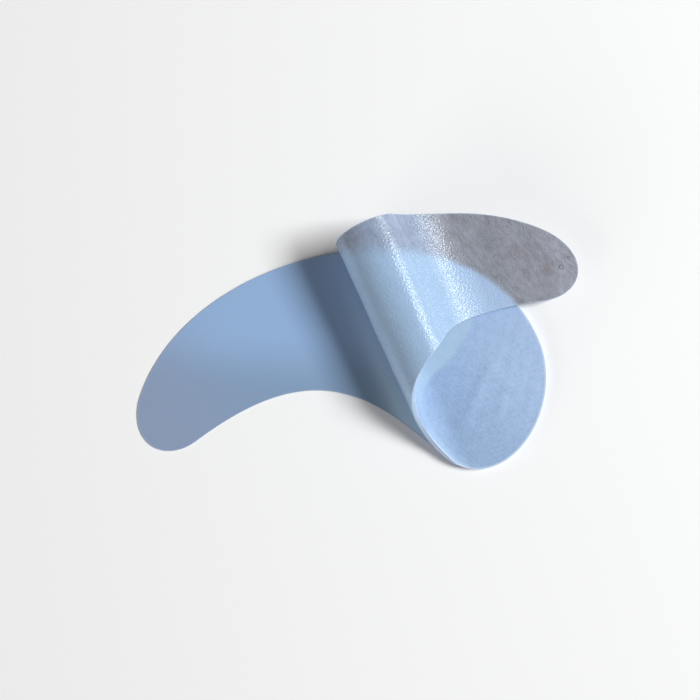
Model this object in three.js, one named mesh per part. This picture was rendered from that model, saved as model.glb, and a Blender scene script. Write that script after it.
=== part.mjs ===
// Under-eye patch: a crescent of nonwoven fabric coated with hydrogel, half peeled from its liner.
// The right half still sticks to the liner. The left half is rolled back over it, gel side up.
// Millimetres, +Z up. The liner's underside is at Z = 0 and the origin is under the middle of the part.
// +X runs from the bare end of the liner to the covered end, and +Y towards the outer, convex edge.

import * as THREE from 'three';

const LINER_THICKNESS = 0.2;
const GEL_THICKNESS = 0.6;
const FABRIC_THICKNESS = 0.25;

// The narrow end of the die-cut crescent is the tip of an ellipse.
const NARROW_END_X = -28.9;
const NARROW_END_Y = -8.75;
const NARROW_END_HALF_WIDTH = 6.65;
const NARROW_END_HALF_LENGTH = 8.95;
const NARROW_END_TILT = -30;
const NARROW_END_FROM = 195;
const NARROW_END_TO = 330;

// The broad end is a rounder ellipse.
const BROAD_END_X = 22.75;
const BROAD_END_Y = -6.3;
const BROAD_END_HALF_WIDTH = 10.25;
const BROAD_END_HALF_LENGTH = 14;
const BROAD_END_TILT = -11.9;
const BROAD_END_FROM = -110.8;
const BROAD_END_TO = 42.7;

// Two free curves join the ends. Each leaves an end along its edge, and its pull says how far.
const INNER_PULL_AT_NARROW_END = 26.4;
const INNER_PULL_AT_BROAD_END = 15.3;
const OUTER_PULL_AT_BROAD_END = 28.6;
const OUTER_PULL_AT_NARROW_END = 27.4;

// The roll: the peel line lies across the crescent, and the sheet goes up, over and down again.
// Radii are measured where the gel meets the fabric, at the middle of the roll. The roll gets wider
// towards its far mouth and the peel line leans away from it, both by so much for each millimetre.
const PEEL_LINE_TURN = 22;
const PEEL_LINE_PLACE = 10.85;
const RISE_RADIUS = 6.55;
const RISE_ANGLE = 29;
const CREST_RADIUS = 4.65;
const FALL_ANGLE = 60;
const ROLL_MIDDLE = 6.8;
const ROLL_WIDENING = 0.0023;
const PEEL_LINE_LEAN = 0.027;
const GAP_UNDER_FLAP = 0.3;

// Fineness of the facets.
const POINTS_PER_CURVE = 40;
const EDGE_STATIONS = 44;
const BEND_STEP = 7;
const CLOSEST_STATIONS = 0.12;
const END_TRIM = 0.01;
const CELLS_ACROSS = 5;

const radians = THREE.MathUtils.degToRad;

const GEL_MEETS_FABRIC = LINER_THICKNESS + GEL_THICKNESS;
const LANDING_RISE = 2 * FABRIC_THICKNESS + GAP_UNDER_FLAP;

// The point of an ellipse at an angle, with the direction of its edge there.
function endOfCrescent(x, y, halfWidth, halfLength, tilt, from, to) {
  const curve = new THREE.EllipseCurve(
    x, y, halfWidth, halfLength, radians(from), radians(to), false, radians(tilt));
  return {
    curve,
    start: curve.getPoint(0),
    startDirection: curve.getTangent(0),
    finish: curve.getPoint(1),
    finishDirection: curve.getTangent(1),
  };
}

function joiningCurve(from, fromDirection, fromPull, to, toDirection, toPull) {
  const leaving = from.clone().addScaledVector(fromDirection, fromPull);
  const arriving = to.clone().addScaledVector(toDirection, -toPull);
  return new THREE.CubicBezierCurve(from, leaving, arriving, to);
}

// The crescent's closed outline, counter-clockwise, with no point repeated.
function crescentOutline() {
  const narrow = endOfCrescent(
    NARROW_END_X, NARROW_END_Y, NARROW_END_HALF_WIDTH, NARROW_END_HALF_LENGTH,
    NARROW_END_TILT, NARROW_END_FROM, NARROW_END_TO);
  const broad = endOfCrescent(
    BROAD_END_X, BROAD_END_Y, BROAD_END_HALF_WIDTH, BROAD_END_HALF_LENGTH,
    BROAD_END_TILT, BROAD_END_FROM, BROAD_END_TO);
  const innerEdge = joiningCurve(
    narrow.finish, narrow.finishDirection, INNER_PULL_AT_NARROW_END,
    broad.start, broad.startDirection, INNER_PULL_AT_BROAD_END);
  const outerEdge = joiningCurve(
    broad.finish, broad.finishDirection, OUTER_PULL_AT_BROAD_END,
    narrow.start, narrow.startDirection, OUTER_PULL_AT_NARROW_END);
  const curves = [narrow.curve, innerEdge, broad.curve, outerEdge];
  return curves.flatMap((curve) => curve.getPoints(POINTS_PER_CURVE).slice(0, -1));
}

// Across the peel line (negative on the peeled side) and along it.
const ACROSS = new THREE.Vector2(Math.cos(radians(PEEL_LINE_TURN)), Math.sin(radians(PEEL_LINE_TURN)));
const ALONG = new THREE.Vector2(-ACROSS.y, ACROSS.x);

function fromPeelLine(point) {
  return new THREE.Vector2(point.dot(ACROSS) - PEEL_LINE_PLACE, point.dot(ALONG));
}

// The outline as two edges that both run from the peeled end to the stuck end.
function edgesAcrossPeelLine(outline) {
  const points = outline.map(fromPeelLine);
  const places = points.map((point) => point.x);
  const first = places.indexOf(Math.min(...places));
  const last = places.indexOf(Math.max(...places));
  const count = points.length;
  const walk = (step) => {
    const edge = [];
    for (let i = first; i !== last; i = (i + step + count) % count) {
      edge.push(points[i]);
    }
    edge.push(points[last]);
    return edge;
  };
  return { near: walk(1), far: walk(-1) };
}

// Where an edge crosses the line that lies at one distance from the peel line.
function crossing(edge, across) {
  const next = edge.findIndex((point) => point.x > across);
  const before = edge[next - 1];
  const after = edge[next];
  return THREE.MathUtils.mapLinear(across, before.x, after.x, before.y, after.y);
}

// The roll as a chain of arcs in the plane square to the peel line. Each arc starts at the heading
// that the last one left: 0 runs flat away from the stuck half, and pi runs flat back over it.
function rollArcs() {
  const rise = radians(RISE_ANGLE);
  const fall = radians(FALL_ANGLE);
  const heightAfterRise = RISE_RADIUS * (1 - Math.cos(rise));
  const heightAtSteepest = heightAfterRise + CREST_RADIUS * (Math.cos(rise) + Math.cos(fall));
  const landingRadius = (heightAtSteepest - LANDING_RISE) / (1 - Math.cos(fall));
  return [
    { radius: RISE_RADIUS, from: 0, to: rise },
    { radius: CREST_RADIUS, from: rise, to: Math.PI + fall },
    { radius: landingRadius, from: Math.PI + fall, to: Math.PI },
  ];
}

// Adds to each arc its length and where it starts: along the sheet, back from the peel line, and up.
function placedArcs() {
  const state = { start: 0, back: 0, up: 0 };
  return rollArcs().map((arc) => {
    const curl = Math.sign(arc.to - arc.from) / arc.radius;
    const length = Math.abs(arc.to - arc.from) * arc.radius;
    const placed = { ...arc, ...state, curl, length };
    state.start += length;
    state.back += (Math.sin(arc.to) - Math.sin(arc.from)) / curl;
    state.up -= (Math.cos(arc.to) - Math.cos(arc.from)) / curl;
    return placed;
  });
}

const ARCS = placedArcs();
const LAST_ARC = ARCS.at(-1);
const ROLL_LENGTH = LAST_ARC.start + LAST_ARC.length;

// Place and heading of the sheet at a distance from the peel line, measured along the sheet.
function rollAt(along) {
  if (along <= 0) {
    return { across: -along, up: 0, heading: 0 };
  }
  const arc = ARCS.find((candidate) => along < candidate.start + candidate.length) ?? LAST_ARC;
  const used = Math.min(along - arc.start, arc.length);
  const heading = arc.from + arc.curl * used;
  const flatRun = Math.max(0, along - ROLL_LENGTH);
  const back = arc.back + (Math.sin(heading) - Math.sin(arc.from)) / arc.curl - flatRun;
  const up = arc.up - (Math.cos(heading) - Math.cos(arc.from)) / arc.curl;
  return { across: -back, up, heading };
}

// Distances from the peel line at which the sheet gets a section: close together at both ends,
// where the edge turns, and at even turns of the heading in the roll.
function stations(edges) {
  const start = edges.near[0].x + END_TRIM;
  const finish = edges.near.at(-1).x - END_TRIM;
  const places = [];
  for (let i = 0; i <= EDGE_STATIONS; i += 1) {
    places.push(THREE.MathUtils.lerp(start, finish, (1 - Math.cos(Math.PI * i / EDGE_STATIONS)) / 2));
  }
  for (const arc of ARCS) {
    const steps = Math.ceil(Math.abs(arc.to - arc.from) / radians(BEND_STEP));
    for (let i = 0; i <= steps; i += 1) {
      places.push(-(arc.start + arc.length * i / steps));
    }
  }
  const inside = places.filter((place) => place > start && place < finish).sort((a, b) => a - b);
  const kept = [start];
  for (const place of inside) {
    if (place - kept.at(-1) > CLOSEST_STATIONS && finish - place > CLOSEST_STATIONS) {
      kept.push(place);
    }
  }
  return [...kept, finish];
}

// A point of the sheet: a place on the flat pattern, and a height above the face where the gel
// meets the fabric, rolled up and turned into the part's frame.
function rolledPoint(across, along, above) {
  const fromMiddle = along - ROLL_MIDDLE;
  const size = 1 + ROLL_WIDENING * fromMiddle;
  const peelLine = -PEEL_LINE_LEAN * fromMiddle;
  const roll = rollAt((peelLine - across) / size);
  const side = PEEL_LINE_PLACE + peelLine + size * roll.across + above * Math.sin(roll.heading);
  const up = GEL_MEETS_FABRIC + size * roll.up + above * Math.cos(roll.heading);
  const plan = ACROSS.clone().multiplyScalar(side).addScaledVector(ALONG, along);
  return [plan.x, plan.y, up];
}

// One layer of the laminate between two heights: a closed ring of points at each station, along the
// bottom from the near edge to the far edge and back along the top, joined from station to station.
// Both faces are cut along the same diagonals, so that layers which meet have the same facets.
function sheetLayer(edges, places, bottom, top) {
  const row = CELLS_ACROSS + 1;
  const ring = 2 * row;
  const positions = [];
  for (const place of places) {
    const near = crossing(edges.near, place);
    const far = crossing(edges.far, place);
    for (let i = 0; i < ring; i += 1) {
      const onBottom = i < row;
      const share = (onBottom ? i : ring - 1 - i) / CELLS_ACROSS;
      const along = THREE.MathUtils.lerp(near, far, share);
      positions.push(...rolledPoint(place, along, onBottom ? bottom : top));
    }
  }
  const index = [];
  const quad = (a, b, c, d) => index.push(a, b, c, a, c, d);
  for (let station = 0; station < places.length - 1; station += 1) {
    const start = station * ring;
    for (let i = 0; i < ring; i += 1) {
      const here = start + i;
      const next = start + (i + 1) % ring;
      if (i < row) {
        quad(here, next, next + ring, here + ring);
      } else {
        quad(next, next + ring, here + ring, here);
      }
    }
  }
  const last = (places.length - 1) * ring;
  for (let i = 0; i < CELLS_ACROSS; i += 1) {
    const opposite = ring - 1 - i;
    quad(i, opposite, opposite - 1, i + 1);
    quad(last + i, last + i + 1, last + opposite - 1, last + opposite);
  }
  const geometry = new THREE.BufferGeometry();
  geometry.setAttribute('position', new THREE.Float32BufferAttribute(positions, 3));
  geometry.setIndex(index);
  geometry.computeVertexNormals();
  return geometry;
}

// Smooth satin film, bare on its left half.
function releaseLiner(outline) {
  const geometry = new THREE.ExtrudeGeometry(
    new THREE.Shape(outline), { depth: LINER_THICKNESS, bevelEnabled: false });
  const material = new THREE.MeshStandardMaterial({ color: '#93aad2', roughness: 0.35, metalness: 0 });
  return named('release_liner', geometry, material);
}

// Clear, slightly blue gel with a wet gloss.
function hydrogelLayer(edges, places) {
  const geometry = sheetLayer(edges, places, -GEL_THICKNESS, 0);
  const material = new THREE.MeshStandardMaterial({ color: '#aec6e6', roughness: 0.12, metalness: 0 });
  return named('hydrogel_layer', geometry, material);
}

// Matte fibre web.
function nonwovenBacking(edges, places) {
  const geometry = sheetLayer(edges, places, 0, FABRIC_THICKNESS);
  const material = new THREE.MeshStandardMaterial({ color: '#9bb8dd', roughness: 0.85, metalness: 0 });
  return named('nonwoven_backing', geometry, material);
}

function named(name, geometry, material) {
  const mesh = new THREE.Mesh(geometry, material);
  mesh.name = name;
  return mesh;
}

function underEyePatch() {
  const outline = crescentOutline();
  const edges = edgesAcrossPeelLine(outline);
  const places = stations(edges);
  const patch = new THREE.Group();
  patch.add(releaseLiner(outline), hydrogelLayer(edges, places), nonwovenBacking(edges, places));
  const middle = new THREE.Box3().setFromObject(patch, true).getCenter(new THREE.Vector3());
  patch.position.set(-middle.x, -middle.y, 0);
  patch.updateMatrixWorld(true);
  return patch;
}

export default underEyePatch();
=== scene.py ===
import math

import bpy
import numpy as np
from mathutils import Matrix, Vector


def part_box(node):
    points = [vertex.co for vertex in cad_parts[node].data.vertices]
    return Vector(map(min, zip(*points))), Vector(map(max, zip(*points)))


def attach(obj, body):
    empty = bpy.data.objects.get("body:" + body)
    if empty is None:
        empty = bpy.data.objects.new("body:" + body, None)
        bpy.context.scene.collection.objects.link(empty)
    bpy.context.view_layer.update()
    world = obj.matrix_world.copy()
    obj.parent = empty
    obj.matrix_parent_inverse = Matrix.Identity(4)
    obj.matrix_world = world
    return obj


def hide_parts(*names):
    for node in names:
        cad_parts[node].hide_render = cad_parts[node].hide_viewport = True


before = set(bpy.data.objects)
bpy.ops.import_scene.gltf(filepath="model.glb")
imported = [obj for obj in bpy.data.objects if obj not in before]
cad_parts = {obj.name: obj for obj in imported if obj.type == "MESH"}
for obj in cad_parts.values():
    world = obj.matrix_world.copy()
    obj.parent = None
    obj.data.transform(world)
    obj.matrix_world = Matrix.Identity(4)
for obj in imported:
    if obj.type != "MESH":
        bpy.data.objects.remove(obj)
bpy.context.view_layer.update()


# Release liner.
# A crescent of siliconed film, light blue, smooth and satin, cut by the same stroke of one steel rule
# as the pad on it. The pad's left half has been peeled off, and the right half still carries it.

MM = 0.001

NARROW_END = {"x": -28.9, "y": -8.75, "half_width": 6.65, "half_length": 8.95,
              "tilt": -30, "from": 195, "to": 330}
BROAD_END = {"x": 22.75, "y": -6.3, "half_width": 10.25, "half_length": 14,
             "tilt": -11.9, "from": -110.8, "to": 42.7}
INNER_PULLS = (26.4, 15.3)
OUTER_PULLS = (28.6, 27.4)
OUTLINE_POINTS = 80


def end_of_crescent(end):
    """Points and edge directions of an ellipse's arc: the ellipse in its own axes, turned by its tilt."""
    angle = np.radians(np.linspace(end["from"], end["to"], OUTLINE_POINTS))
    tilt = math.radians(end["tilt"])
    turn = np.array([[math.cos(tilt), math.sin(tilt)], [-math.sin(tilt), math.cos(tilt)]])
    half = np.array([end["half_width"], end["half_length"]])
    points = np.stack([np.cos(angle), np.sin(angle)], -1) * half @ turn + (end["x"], end["y"])
    directions = np.stack([-np.sin(angle), np.cos(angle)], -1) * half @ turn
    return points, directions / np.linalg.norm(directions, axis=1, keepdims=True)


def joining_curve(start, start_direction, finish, finish_direction, pulls):
    """A cubic curve whose two middle controls lie on the end directions, each a pull away."""
    t = np.linspace(0, 1, OUTLINE_POINTS)[:, None]
    leaving = start + start_direction * pulls[0]
    arriving = finish - finish_direction * pulls[1]
    return ((1 - t) ** 3 * start + 3 * (1 - t) ** 2 * t * leaving
            + 3 * (1 - t) * t ** 2 * arriving + t ** 3 * finish)


def crescent_outline():
    """The closed outline in millimetres on the flat pattern, counter-clockwise."""
    narrow, narrow_way = end_of_crescent(NARROW_END)
    broad, broad_way = end_of_crescent(BROAD_END)
    inner = joining_curve(narrow[-1], narrow_way[-1], broad[0], broad_way[0], INNER_PULLS)
    outer = joining_curve(broad[-1], broad_way[-1], narrow[0], narrow_way[0], OUTER_PULLS)
    return np.concatenate([run[:-1] for run in (narrow, inner, broad, outer)])


OUTLINE = crescent_outline()
liner_low = np.array(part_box("release_liner")[0]) / MM
PATTERN_ORIGIN = liner_low[:2] - OUTLINE.min(axis=0)


def inside_outline(points):
    """Distance from the outline in millimetres, positive inside it: the nearest of the outline's
    straight steps, with a sign from counting how often a ray crosses the outline."""
    nearest = np.full(len(points), np.inf)
    crossings = np.zeros(len(points), dtype=int)
    for corner, step in zip(OUTLINE, np.roll(OUTLINE, -1, axis=0) - OUTLINE):
        rel = points - corner
        along = np.clip(rel @ step / (step @ step), 0, 1)
        nearest = np.minimum(nearest, np.hypot(*(rel - along[:, None] * step).T))
        spans = (rel[:, 1] >= 0) != (rel[:, 1] >= step[1])
        reach = step[0] * rel[:, 1] / (step[1] if step[1] else 1)
        crossings += spans & (rel[:, 0] < reach)
    return np.where(crossings % 2 == 1, nearest, -nearest)


PEEL_LINE_TURN = math.radians(22)
PEEL_LINE_PLACE = 10.85
PEEL_LINE_LEAN = 0.027
ROLL_MIDDLE = 6.8
ACROSS = np.array([math.cos(PEEL_LINE_TURN), math.sin(PEEL_LINE_TURN)])
ALONG = np.array([-ACROSS[1], ACROSS[0]])


def edges_across_peel_line():
    """The outline as a near and a far edge, each as distance from the peel line and place along it."""
    points = np.stack([OUTLINE @ ACROSS - PEEL_LINE_PLACE, OUTLINE @ ALONG], -1)
    points = np.roll(points, -int(points[:, 0].argmin()), axis=0)
    last = int(points[:, 0].argmax())
    near = points[: last + 1]
    far = np.concatenate([points[last:], points[:1]])[::-1]
    return near, far


NEAR_EDGE, FAR_EDGE = edges_across_peel_line()
END_TRIM = 0.01


def layer_rings(stations, cells, bottom, top, chamfer):
    """One closed layer as rings of points: each point's place across and along the peel line, and
    its height. A ring runs along the bottom from the near edge to the far edge, up a wall with two
    small chamfers, back along the top and down the other wall. The rings crowd towards both ends
    of the crescent, as the cosine of even steps."""
    start = NEAR_EDGE[0, 0] + END_TRIM
    finish = NEAR_EDGE[-1, 0] - END_TRIM
    even = np.linspace(0, math.pi, stations)
    across = start + (finish - start) * (1 - np.cos(even)) / 2
    near = np.interp(across, *NEAR_EDGE.T)
    far = np.interp(across, *FAR_EDGE.T)
    share = np.linspace(0, 1, cells + 1)
    shares = np.concatenate([share, [1, 1], share[::-1], [0, 0]])
    flat = np.ones(cells + 1)
    low, high = bottom + chamfer, top - chamfer
    heights = np.concatenate([flat * bottom, [low, high], flat * top, [high, low]])
    insets = np.concatenate([flat, [0, 0], flat, [0, 0]]) * chamfer
    along = near[:, None] + (far - near)[:, None] * shares + insets * (1 - 2 * shares)
    across = np.repeat(across[:, None], len(shares), axis=1)
    return across, along, np.broadcast_to(heights, along.shape)


def pattern_places(across, along):
    """The flat pattern's own x and y in millimetres, for patterns that follow the sheet."""
    return (across + PEEL_LINE_PLACE)[..., None] * ACROSS + along[..., None] * ALONG


SHARP_ABOVE = math.radians(35)


def make_piece(name, points):
    """A closed mesh at the origin from rings of points in metres: quads from each ring to the next,
    and one face to close each end."""
    stations, ring = points.shape[:2]
    here = np.arange(stations - 1)[:, None] * ring + np.arange(ring)
    after = np.arange(stations - 1)[:, None] * ring + (np.arange(ring) + 1) % ring
    quads = np.stack([here, after, after + ring, here + ring], -1).reshape(-1, 4)
    caps = [list(range(ring))[::-1], list(range((stations - 1) * ring, stations * ring))]
    mesh = bpy.data.meshes.new(name)
    mesh.from_pydata(points.reshape(-1, 3), [], quads.tolist() + caps)
    mesh.polygons.foreach_set("use_smooth", np.ones(len(mesh.polygons), dtype=bool))
    mesh.set_sharp_from_angle(angle=SHARP_ABOVE)
    mesh.update()
    piece = bpy.data.objects.new(name, mesh)
    bpy.context.scene.collection.objects.link(piece)
    return piece


def store(piece, name, values):
    """Keeps one number or one vector for each vertex, for the material to read."""
    values = np.asarray(values, dtype=np.float32)
    kind = "FLOAT" if values.ndim == 1 else "FLOAT_VECTOR"
    attribute = piece.data.attributes.new(name, kind, "POINT")
    attribute.data.foreach_set("value" if values.ndim == 1 else "vector", values.ravel())


class Signal:
    """A shader socket. Arithmetic on it adds Math nodes, and node() adds any other node."""

    def __init__(self, tree, socket):
        self.tree = tree
        self.socket = socket

    def node(self, kind, settings, sockets, output=0):
        """A new node of a kind, with its settings, and values or links for its sockets."""
        made = self.tree.nodes.new(kind)
        for key, value in settings.items():
            setattr(made, key, value)
        for key, value in sockets.items():
            if isinstance(value, Signal):
                self.tree.links.new(value.socket, made.inputs[key])
            else:
                made.inputs[key].default_value = value
        return Signal(self.tree, made.outputs[output])

    def math(self, operation, *values):
        return self.node("ShaderNodeMath", {"operation": operation}, dict(enumerate(values)))

    def __add__(self, other):
        return self.math("ADD", self, other)

    def __radd__(self, other):
        return self.math("ADD", other, self)

    def __sub__(self, other):
        return self.math("SUBTRACT", self, other)

    def __rsub__(self, other):
        return self.math("SUBTRACT", other, self)

    def __mul__(self, other):
        return self.math("MULTIPLY", self, other)

    def __rmul__(self, other):
        return self.math("MULTIPLY", other, self)

    def __truediv__(self, other):
        return self.math("DIVIDE", self, other)

    def __rtruediv__(self, other):
        return self.math("DIVIDE", other, self)

    def vector_math(self, operation, *values, output=0):
        return self.node("ShaderNodeVectorMath", {"operation": operation}, dict(enumerate(values)), output)

    def scaled(self, size):
        """This vector or colour times a number or a signal."""
        return self.node("ShaderNodeVectorMath", {"operation": "SCALE"}, {0: self, "Scale": size})

    def towards(self, direction):
        """How far along a direction this place lies."""
        return self.vector_math("DOT_PRODUCT", self, direction, output="Value")

    def away_from(self, spot):
        """How far from a spot this place lies."""
        return self.vector_math("DISTANCE", self, spot, output="Value")

    def stored(self, name, output="Fac"):
        """What store() kept for each vertex under a name."""
        return self.node("ShaderNodeAttribute", {"attribute_name": name}, {}, output)

    def smooth(self, low, high):
        """0 below low, 1 above high, and an even S between them."""
        return self.node("ShaderNodeMapRange", {"interpolation_type": "SMOOTHSTEP"},
                         {"Value": self, "From Min": low, "From Max": high})

    def tint(self, plain, tinted):
        """One colour where this is 0 and the other where it is 1."""
        return self.node("ShaderNodeMix", {"data_type": "RGBA"}, {0: self, 6: plain, 7: tinted}, 2)

    def noise(self, scale, detail, roughness, stretch=(1, 1, 1), turn=0.0):
        """Even noise from 0 to 1 over this vector, stretched and turned first."""
        placed = self.node("ShaderNodeMapping", {"vector_type": "TEXTURE"},
                           {"Vector": self, "Scale": stretch, "Rotation": (0, 0, turn)})
        return self.node("ShaderNodeTexNoise", {},
                         {"Vector": placed, "Scale": scale, "Detail": detail, "Roughness": roughness})

    def bump(self, strength, depth, under=None):
        """The normal of a surface raised by this signal, over another bump if one is given."""
        sockets = {"Strength": strength, "Distance": depth, "Height": self}
        if under is not None:
            sockets["Normal"] = under
        return self.node("ShaderNodeBump", {}, sockets)


def new_finish(name):
    """A material with only its output, and a first Signal to build on: the object's own coordinates."""
    material = bpy.data.materials.new(name)
    material.use_nodes = True
    tree = material.node_tree
    tree.nodes.clear()
    output = tree.nodes.new("ShaderNodeOutputMaterial")
    place = tree.nodes.new("ShaderNodeTexCoord")
    return material, Signal(tree, place.outputs["Object"]), output


def shade(red, green, blue):
    """A colour given as on a screen, 0 to 255, in the linear light that shaders use."""
    parts = np.array([red, green, blue]) / 255
    linear = np.where(parts <= 0.04045, parts / 12.92, ((parts + 0.055) / 1.055) ** 2.4)
    return (*linear.tolist(), 1.0)


def finish_surface(place, output, sockets):
    """A Principled surface with the sockets given, joined to the material's output."""
    surface = place.node("ShaderNodeBsdfPrincipled", {}, sockets)
    place.tree.links.new(surface.socket, output.inputs["Surface"])


def wear(piece, material):
    """Puts the material on the piece."""
    piece.data.materials.append(material)


LINER_STATIONS = 300
LINER_CELLS = 48
LINER_THICKNESS = 0.2
LINER_CHAMFER = 0.04
LINER_BLUE = shade(150, 180, 220)
LINER_GREY = shade(142, 159, 189)
LINER_TIP = shade(148, 168, 198)
LINER_LOW = shade(134, 160, 192)
# Colour of the painted light on the film beside the roll.
LINER_PAINTED_LIGHT = shade(214, 240, 255)
LINER_EDGE = shade(160, 176, 204)
LINER_TIP_WAY = (-0.7, -0.7, 0)
ROLL_SIDE_MM = 7.3
# How far the painted light beside the roll reaches, how it fades, and its share along the roll.
PAINTED_LIGHT_REACH = 2.2
PAINTED_LIGHT_FALL = 1.5
PAINTED_LIGHT_PLACES = (-16.0, -8.0, 14.0)
PAINTED_LIGHT_SHARES = (1.0, 0.7, 0.15)


def painted_light_beside_roll(across, along):
    """The paler zone on the film beside the wet roll, painted light that stands for light coming through
    the gel: 1 under the roll's side and fading with distance from it, more at the eye side than at the
    cheek side."""
    side = PEEL_LINE_PLACE - PEEL_LINE_LEAN * (along - ROLL_MIDDLE) - ROLL_SIDE_MM
    away = np.maximum(side - (across + PEEL_LINE_PLACE), 0)
    return np.interp(along, PAINTED_LIGHT_PLACES, PAINTED_LIGHT_SHARES) * np.exp(-(away / PAINTED_LIGHT_REACH) ** PAINTED_LIGHT_FALL)


def liner_finish():
    """Light blue film, greyer towards its tip and deeper along the eye side, with a cut edge and
    painted light on the film beside the roll.
    """
    material, place, output = new_finish("satin_release_film")
    mm = place.scaled(1 / MM)
    towards_tip = mm.towards(LINER_TIP_WAY)
    cloud = mm.noise(0.07, 2.0, 0.5)
    low_side = mm.node("ShaderNodeSeparateXYZ", {}, {0: mm}, "Y").smooth(2.0, -9.0)
    film = low_side.tint(LINER_BLUE, LINER_LOW)
    film = (towards_tip + cloud * 6.0).smooth(16.0, 36.0).tint(film, LINER_GREY)
    film = (towards_tip.smooth(36.4, 37.4) * 0.8).tint(film, LINER_TIP)
    # Painted light: the film is made paler beside the roll, as if light came through the wet gel.
    film = (place.stored("painted_light_by_roll") * 0.85).tint(film, LINER_PAINTED_LIGHT)
    film = place.stored("edge_mm").smooth(0.22, 0.05).tint(film, LINER_EDGE)
    fine = mm.noise(6.0, 3.0, 0.6)
    wave = mm.noise(0.16, 2.0, 0.4)
    finish_surface(mm, output, {
        "Base Color": film, "Roughness": 0.42 + 0.08 * fine, "IOR": 1.45,
        "Normal": wave.bump(0.25, 0.0002, fine.bump(0.10, 0.00002)),
        "Coat Weight": 0.25, "Coat Roughness": 0.3})
    return material


across, along, above = layer_rings(LINER_STATIONS, LINER_CELLS, 0, LINER_THICKNESS, LINER_CHAMFER)
liner_places = pattern_places(across, along)
liner_points = np.concatenate([liner_places + PATTERN_ORIGIN, above[..., None]], axis=-1) * MM
liner = make_piece("release_liner_film", liner_points)
store(liner, "edge_mm", inside_outline(liner_places.reshape(-1, 2)))
# The painted light beside the roll, kept for each vertex.
store(liner, "painted_light_by_roll", painted_light_beside_roll(across, along).ravel())
wear(liner, liner_finish())
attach(liner, "root")
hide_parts("release_liner")


# Hydrogel layer.
# A sheet of clear wet gel, cast on the fabric. On the left half it has come off the liner and now
# faces up, glossy, with the fibres showing through it. Where no blue liner lies below, it is grey.

RISE_RADIUS = 6.55
RISE_ANGLE = math.radians(29)
CREST_RADIUS = 4.65
FALL_ANGLE = math.radians(60)
ROLL_WIDENING = 0.0023
GAP_UNDER_FLAP = 0.3
GEL_THICKNESS = 0.6
FABRIC_THICKNESS = 0.25
GEL_MEETS_FABRIC = LINER_THICKNESS + GEL_THICKNESS


def roll_arcs():
    """Each arc as radius, first heading, last heading: up, over, and down to the flat."""
    after_rise = RISE_RADIUS * (1 - math.cos(RISE_ANGLE))
    steepest = after_rise + CREST_RADIUS * (math.cos(RISE_ANGLE) + math.cos(FALL_ANGLE))
    landing_rise = 2 * FABRIC_THICKNESS + GAP_UNDER_FLAP
    landing_radius = (steepest - landing_rise) / (1 - math.cos(FALL_ANGLE))
    return [(RISE_RADIUS, 0, RISE_ANGLE), (CREST_RADIUS, RISE_ANGLE, math.pi + FALL_ANGLE),
            (landing_radius, math.pi + FALL_ANGLE, math.pi)]


def roll_at(distance):
    """Place across the peel line, height and heading of the sheet at distances measured along it.
    On an arc the heading changes evenly, and place and height are its sine and cosine times the
    radius. Past the last arc the sheet runs flat."""
    across = -np.minimum(distance, 0)
    up = np.zeros_like(distance)
    heading = np.zeros_like(distance)
    start = back = height = 0.0
    for radius, first, last in roll_arcs():
        curl = math.copysign(1 / radius, last - first)
        length = abs(last - first) * radius
        used = np.clip(distance - start, 0, length)
        here = distance > start
        turned = first + curl * used
        across = np.where(here, -(back + (np.sin(turned) - math.sin(first)) / curl), across)
        up = np.where(here, height - (np.cos(turned) - math.cos(first)) / curl, up)
        heading = np.where(here, turned, heading)
        start += length
        back += (math.sin(last) - math.sin(first)) / curl
        height -= (math.cos(last) - math.cos(first)) / curl
    return across + np.maximum(distance - start, 0), up, heading


def rolled(across, along, above):
    """Points in the part's frame, in metres, for places on the flat pattern and heights above the
    face where the gel meets the fabric. The roll grows evenly along the peel line."""
    from_middle = along - ROLL_MIDDLE
    size = 1 + ROLL_WIDENING * from_middle
    peel_line = -PEEL_LINE_LEAN * from_middle
    place, up, heading = roll_at((peel_line - across) / size)
    side = PEEL_LINE_PLACE + peel_line + size * place + above * np.sin(heading)
    plan = side[..., None] * ACROSS + along[..., None] * ALONG + PATTERN_ORIGIN
    height = GEL_MEETS_FABRIC + size * up + above * np.cos(heading)
    return np.concatenate([plan, height[..., None]], axis=-1) * MM, heading


GEL_STATIONS = 420
GEL_CELLS = 88
GEL_CHAMFER = 0.08
RIPPLE_HEIGHT = 0.02
RIPPLE_STARTS_OVER = 6.0
FLAP_FROM_HEADING = 1.2
NEAR_BLUR_MM = 0.3
BLUR_PER_HEIGHT = 0.15
INSET_PER_HEIGHT = 0.16
STUCK_DOWN = 5.0
GEL_BLUE = shade(158, 185, 216)
GEL_GREY = shade(149, 152, 163)
GEL_LOW_BLUE = shade(178, 202, 236)
GEL_HAZE = shade(144, 157, 180)
GEL_TIP = shade(158, 161, 174)
GEL_BROWN = shade(136, 124, 126)
# Colour of the painted highlight along the gel's cut edge.
GEL_RIM_HIGHLIGHT = shade(196, 212, 236)
GEL_TIP_WAY = (-0.72, -0.69, 0)
STAINS = (((-29.3, -6.9, 0), 1.3), ((-31.2, -12.4, 0), 1.5))
BUBBLES = (((-32.7, -13.7, 0), 0.3), ((-34.8, -13.5, 0), 0.2))
BUBBLE_WALL = 0.16


def gel_ripple(across, along, above):
    """A slow ripple of the free gel face: two sine waves, faded out where the gel sits on the liner."""
    free = np.clip(-across / RIPPLE_STARTS_OVER, 0, 1) * (above < -GEL_THICKNESS / 2)
    waves = np.sin(across * 0.9 + along * 0.35) + np.sin(along * 0.8 - across * 0.4)
    return free * RIPPLE_HEIGHT * waves


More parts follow.
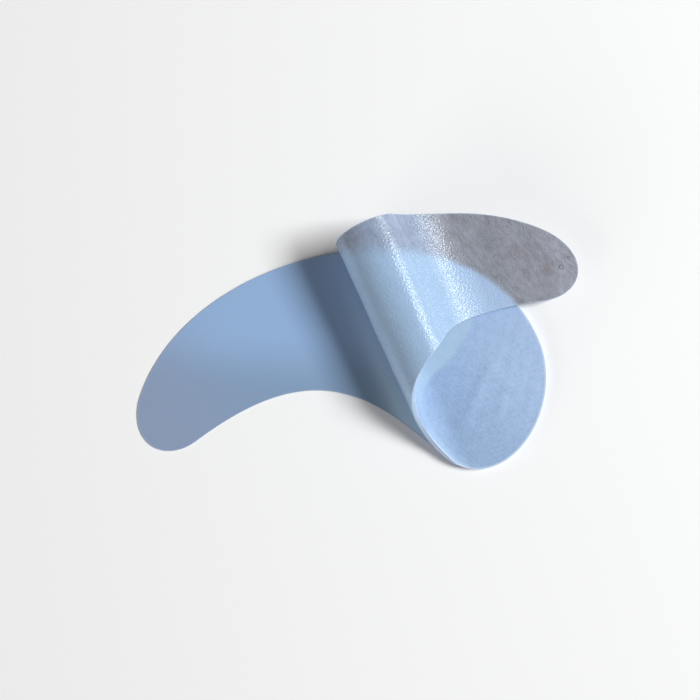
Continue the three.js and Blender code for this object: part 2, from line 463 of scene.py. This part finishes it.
def over_liner(points, heading):
    """How far inside the liner's outline each point of the flap hangs, straight down, less an inset
    and divided by a blur that both grow with its height. Flat parts count as well inside."""
    height = points[:, 2] / MM
    inside = inside_outline(points[:, :2] / MM - PATTERN_ORIGIN) - INSET_PER_HEIGHT * height
    blur = NEAR_BLUR_MM + BLUR_PER_HEIGHT * height
    return np.where(heading > FLAP_FROM_HEADING, inside / blur, STUCK_DOWN)


def laminate_piece(name, stations, cells, bottom, top, chamfer, relief):
    """One layer of the rolled laminate, keeping for each vertex what its material reads."""
    across, along, above = layer_rings(stations, cells, bottom, top, chamfer)
    points, heading = rolled(across, along, above + relief(across, along, above))
    piece = make_piece(name, points)
    points = points.reshape(-1, 3)
    heading = heading.ravel()
    flat = pattern_places(across, along).reshape(-1, 2)
    store(piece, "flat_mm", np.pad(flat, ((0, 0), (0, 1))))
    store(piece, "edge_mm", inside_outline(flat))
    store(piece, "over_liner", over_liner(points, heading))
    store(piece, "height_mm", points[:, 2] / MM)
    return piece, points, heading


def gel_finish():
    """Wet gel: blue over the liner and grey beyond it, mottled by the fibres under it, with stains,
    bubbles, a painted highlight along the pale cut rim and a fine grain that breaks the light into
    sparkles."""
    material, place, output = new_finish("wet_hydrogel")
    sheet = place.stored("flat_mm", "Vector")
    height = place.stored("height_mm")
    blue_below = place.stored("over_liner").smooth(-1.0, 1.0)
    fibres = sheet.noise(0.9, 5.0, 0.7, (0.7, 1.6, 1), 0.2)
    cloud = sheet.noise(0.28, 3.0, 0.6)
    web = fibres * 0.65 + cloud * 0.35
    grey = GEL_GREY
    for spot, size in STAINS:
        stain = (sheet.away_from(spot) + fibres * 1.5).smooth(size + 1.6, 0.6)
        grey = (stain * 0.45).tint(grey, GEL_BROWN)
    grey = (sheet.towards(GEL_TIP_WAY) + cloud * 1.5).smooth(32.2, 33.6).tint(grey, GEL_TIP)
    grey = height.smooth(2.2, 4.2).tint(grey, GEL_HAZE)
    blue = height.smooth(3.4, 1.8).tint(GEL_BLUE, GEL_LOW_BLUE)
    body = blue_below.tint(grey, blue)
    body = body.scaled((web - 0.5) * (1.5 - 1.2 * blue_below) + 1.0)
    # Painted highlight: the gel is paler along its cut edge, where the edge catches the light.
    body = (place.stored("edge_mm").smooth(0.25, 0.08) * 0.4).tint(body, GEL_RIM_HIGHLIGHT)
    fine = sheet.noise(5.0, 1.0, 0.5)
    grain = sheet.noise(2.8, 1.0, 0.5)
    surface = fine.bump(0.3, 0.00006, grain.bump(0.75, 0.00012))
    for spot, size in BUBBLES:
        near = sheet.away_from(spot)
        ring = near.smooth(size + BUBBLE_WALL, size) * near.smooth(size - BUBBLE_WALL, size)
        surface = ring.bump(0.8, 0.00015, surface)
        body = (ring * 0.3).tint(body, GEL_BROWN)
    finish_surface(place, output, {
        "Base Color": body, "Roughness": 0.2 + 0.1 * fine, "IOR": 1.36, "Normal": surface})
    return material


gel = laminate_piece("hydrogel_sheet", GEL_STATIONS, GEL_CELLS, -GEL_THICKNESS, 0,
                     GEL_CHAMFER, gel_ripple)[0]
wear(gel, gel_finish())
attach(gel, "root")
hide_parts("hydrogel_layer")


# Nonwoven backing.
# A thin felt of short fibres, laid in every direction and bonded flat, that the gel is cast on. It is
# the matte top of the stuck half, faintly creased where the pad was handled, and it lines the roll.

FABRIC_STATIONS = 420
FABRIC_CELLS = 88
FABRIC_CHAMFER = 0.06
FABRIC_BLUE = shade(139, 166, 202)
FABRIC_PALE = shade(172, 197, 233)
FABRIC_GREY = shade(146, 148, 158)
# Colour of the painted highlight along the fabric's cut edge.
FABRIC_RIM_HIGHLIGHT = shade(200, 218, 242)
FABRIC_PALE_WAY = (0.6, 0.8, 0)
FIBRE_LAYERS = ((0.3, 1.5), (1.3, 1.8), (2.4, 1.6))
FIBRE_STRETCH = (3.5, 0.6, 1)
# Colour, width along the sheet and blur of the band of painted light under the lifted edge.
PAINTED_LIGHT_BAND_BLUE = shade(180, 208, 230)
PAINTED_BAND_ALONG_SHEET = (0.0, 5.0, 10.0, 16.0, 20.0, 24.0, 27.0, 29.0)
PAINTED_BAND_WIDTH = (0.5, 1.5, 2.1, 3.3, 3.9, 3.0, 1.6, 0.0)
PAINTED_BAND_BLUR = 0.5
PAINTED_BAND_LEAST_WIDTH = 0.3
WRINKLES = (
    {"x": 21.5, "y": -7.4, "turn": 1.134, "half": 7.0, "share": 1.0},
    {"x": 25.9, "y": -5.3, "turn": -0.748, "half": 3.3, "share": 0.6},
    {"x": 25.3, "y": -10.0, "turn": 1.03, "half": 2.4, "share": 0.7})
WRINKLE_HEIGHT = 0.16
WRINKLE_WIDTH = 1.0
UNEVEN_HEIGHT = 0.015


def fabric_relief(across, along, above):
    """Soft wrinkles in the stuck half's top face: each a low rise along a short line, highest at its
    middle, with a faint unevenness of the web everywhere."""
    places = pattern_places(across, along)
    x = places[..., 0]
    y = places[..., 1]
    rise = np.zeros(across.shape)
    for wrinkle in WRINKLES:
        right = x - wrinkle["x"]
        up = y - wrinkle["y"]
        run = right * math.cos(wrinkle["turn"]) + up * math.sin(wrinkle["turn"])
        off = up * math.cos(wrinkle["turn"]) - right * math.sin(wrinkle["turn"])
        middle = np.exp(-(run / wrinkle["half"]) ** 4)
        rise += wrinkle["share"] * middle * np.exp(-(off / WRINKLE_WIDTH) ** 2)
    uneven = UNEVEN_HEIGHT * np.sin(1.9 * x + 0.6 * y) * np.sin(1.3 * y - 0.8 * x)
    return (uneven + WRINKLE_HEIGHT * rise) * (above > FABRIC_THICKNESS / 2)


def painted_light_beside_flap_edge(points, heading):
    """The pale band on the fabric under the lifted edge, painted light: 1 straight below the edge, and 0
    past a width that follows how far the edge lies along the roll."""
    lifted = NEAR_EDGE[NEAR_EDGE[:, 0] < 0]
    edge, _ = rolled(lifted[:, 0], lifted[:, 1], np.full(len(lifted), -GEL_THICKNESS / 2))
    width = np.interp(-lifted[:, 0], PAINTED_BAND_ALONG_SHEET, PAINTED_BAND_WIDTH)
    band = np.zeros(len(points))
    for spot, reach in zip(edge[:, :2] / MM, width):
        away = np.hypot(*(points[:, :2] / MM - spot).T)
        here = np.clip((reach - away) / PAINTED_BAND_BLUR + 0.5, 0, 1) * (reach > PAINTED_BAND_LEAST_WIDTH)
        band = np.maximum(band, here)
    return band * np.clip(1 - heading / FLAP_FROM_HEADING, 0, 1)


def fabric_finish():
    """Matte fibre web in three directions, paler towards the broad end, with a pale band of painted light
    under the lifted edge and a painted highlight along the cut rim. Where the flap hangs beyond the liner
    it is grey."""
    material, place, output = new_finish("bonded_fibre_web")
    sheet = place.stored("flat_mm", "Vector")
    layers = [sheet.noise(size, 5.0, 0.7, FIBRE_STRETCH, turn) for turn, size in FIBRE_LAYERS]
    web = (layers[0] + layers[1] + layers[2]) / 3.0
    cloud = sheet.noise(0.35, 3.0, 0.6)
    broad_end = sheet.towards(FABRIC_PALE_WAY).smooth(-2.0, 16.0)
    light = web.smooth(0.38, 0.62) * 0.55 + cloud * 0.15 + broad_end * 0.5
    body = place.stored("over_liner").smooth(-1.0, 1.0).tint(
        FABRIC_GREY, light.tint(FABRIC_BLUE, FABRIC_PALE))
    # Painted light: a pale band on the fabric just below the lifted flap edge.
    body = (place.stored("painted_light_band") * 0.75).tint(body, PAINTED_LIGHT_BAND_BLUE)
    # Painted highlight: the fabric is paler along its cut edge, where the edge catches the light.
    body = (place.stored("edge_mm").smooth(0.4, 0.15) * 0.75).tint(body, FABRIC_RIM_HIGHLIGHT)
    finish_surface(place, output, {
        "Base Color": body, "Roughness": 0.72 + 0.2 * web, "IOR": 1.4,
        "Normal": web.bump(0.7, 0.0001), "Sheen Weight": 0.1, "Sheen Roughness": 0.5})
    return material


fabric, fabric_points, fabric_heading = laminate_piece(
    "nonwoven_web", FABRIC_STATIONS, FABRIC_CELLS, 0, FABRIC_THICKNESS, FABRIC_CHAMFER, fabric_relief)
# The band of painted light under the lifted edge, kept for each vertex.
store(fabric, "painted_light_band", painted_light_beside_flap_edge(fabric_points, fabric_heading))
wear(fabric, fabric_finish())
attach(fabric, "root")
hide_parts("nonwoven_backing")


# Camera.
# The photograph looks almost straight down from a hand's breadth away. No piece or material reads
# where the camera stands.

IMAGE_PIXELS = 700
MM_PER_PIXEL = 0.1707
CAMERA_PIXELS = 707
CAMERA_ELEVATION = math.radians(88.8)
SENSOR_MM = 36
eye_distance = CAMERA_PIXELS * MM_PER_PIXEL
target = np.array([*PATTERN_ORIGIN, 0.0])
eye = target + eye_distance * np.array([0, -math.cos(CAMERA_ELEVATION), math.sin(CAMERA_ELEVATION)])

camera_data = bpy.data.cameras.new("camera")
camera_data.sensor_width = SENSOR_MM
camera_data.lens = SENSOR_MM * CAMERA_PIXELS / IMAGE_PIXELS
camera_data.clip_start = 0.005
camera_data.clip_end = 10
camera = bpy.data.objects.new("camera", camera_data)
camera.location = eye * MM
camera.rotation_euler = (math.pi / 2 - CAMERA_ELEVATION, 0, 0)
bpy.context.scene.collection.objects.link(camera)
bpy.context.scene.camera = camera


# Floor and light.
# A plain pale floor under a soft warm dome. A broad soft key from the right and a low fill from the
# left shade the surfaces, and a third light is only mirrored, as two streaks in the wet gel.

FLOOR_HALF = 1.5
FLOOR_DROP = 0.00002
FLOOR_WHITE = shade(249, 249, 250)
LIGHT_DISTANCE = 1.3
DOME_TINT = (1.0, 0.94, 0.86, 1.0)
DOME_STRENGTH = 0.14
BACKDROP = (0.86, 0.86, 0.86, 1.0)

floor_mesh = bpy.data.meshes.new("floor")
floor_mesh.from_pydata(
    [(-FLOOR_HALF, -FLOOR_HALF, -FLOOR_DROP), (FLOOR_HALF, -FLOOR_HALF, -FLOOR_DROP),
     (FLOOR_HALF, FLOOR_HALF, -FLOOR_DROP), (-FLOOR_HALF, FLOOR_HALF, -FLOOR_DROP)],
    [], [(0, 1, 2, 3)])
floor = bpy.data.objects.new("floor", floor_mesh)
bpy.context.scene.collection.objects.link(floor)
floor_material, floor_place, floor_output = new_finish("pale_floor")
finish_surface(floor_place, floor_output, {"Base Color": FLOOR_WHITE, "Roughness": 0.8})
floor_mesh.materials.append(floor_material)


def soft_light(name, azimuth, elevation, width, height, power, tint, mirrored):
    """A soft rectangle of light that faces the patch from an azimuth and elevation in degrees. It
    either shades the surfaces or is only mirrored in them."""
    data = bpy.data.lights.new(name, "AREA")
    data.shape = "RECTANGLE"
    data.size = width
    data.size_y = height
    data.energy = power
    data.color = tint
    light = bpy.data.objects.new(name, data)
    a, e = math.radians(azimuth), math.radians(elevation)
    light.location = (LIGHT_DISTANCE * math.cos(e) * math.cos(a),
                      LIGHT_DISTANCE * math.cos(e) * math.sin(a), LIGHT_DISTANCE * math.sin(e))
    light.rotation_euler = (math.pi / 2 - e, 0, a + math.pi / 2)
    light.visible_glossy = mirrored
    light.visible_diffuse = not mirrored
    bpy.context.scene.collection.objects.link(light)


soft_light("key", 11, 41, 0.56, 0.38, 19.8, (0.97, 0.99, 1.0), False)
soft_light("fill", 218, 12, 0.90, 0.40, 8.0, (1.0, 0.97, 0.92), False)
soft_light("streak", 22, 29, 0.49, 0.34, 16.5, (0.94, 1.0, 1.0), True)

world = bpy.data.worlds.new("studio")
bpy.context.scene.world = world
world.use_nodes = True
sky = world.node_tree
dome_node = sky.nodes["Background"]
dome_node.inputs["Color"].default_value = DOME_TINT
dome_node.inputs["Strength"].default_value = DOME_STRENGTH
dome = Signal(sky, dome_node.outputs[0])
backdrop = dome.node("ShaderNodeBackground", {}, {"Color": BACKDROP, "Strength": 1.0})
camera_ray = dome.node("ShaderNodeLightPath", {}, {}, "Is Camera Ray")
studio = dome.node("ShaderNodeMixShader", {}, {0: camera_ray, 1: dome, 2: backdrop})
sky.links.new(studio.socket, sky.nodes["World Output"].inputs["Surface"])
bpy.context.scene.view_settings.view_transform = "Standard"
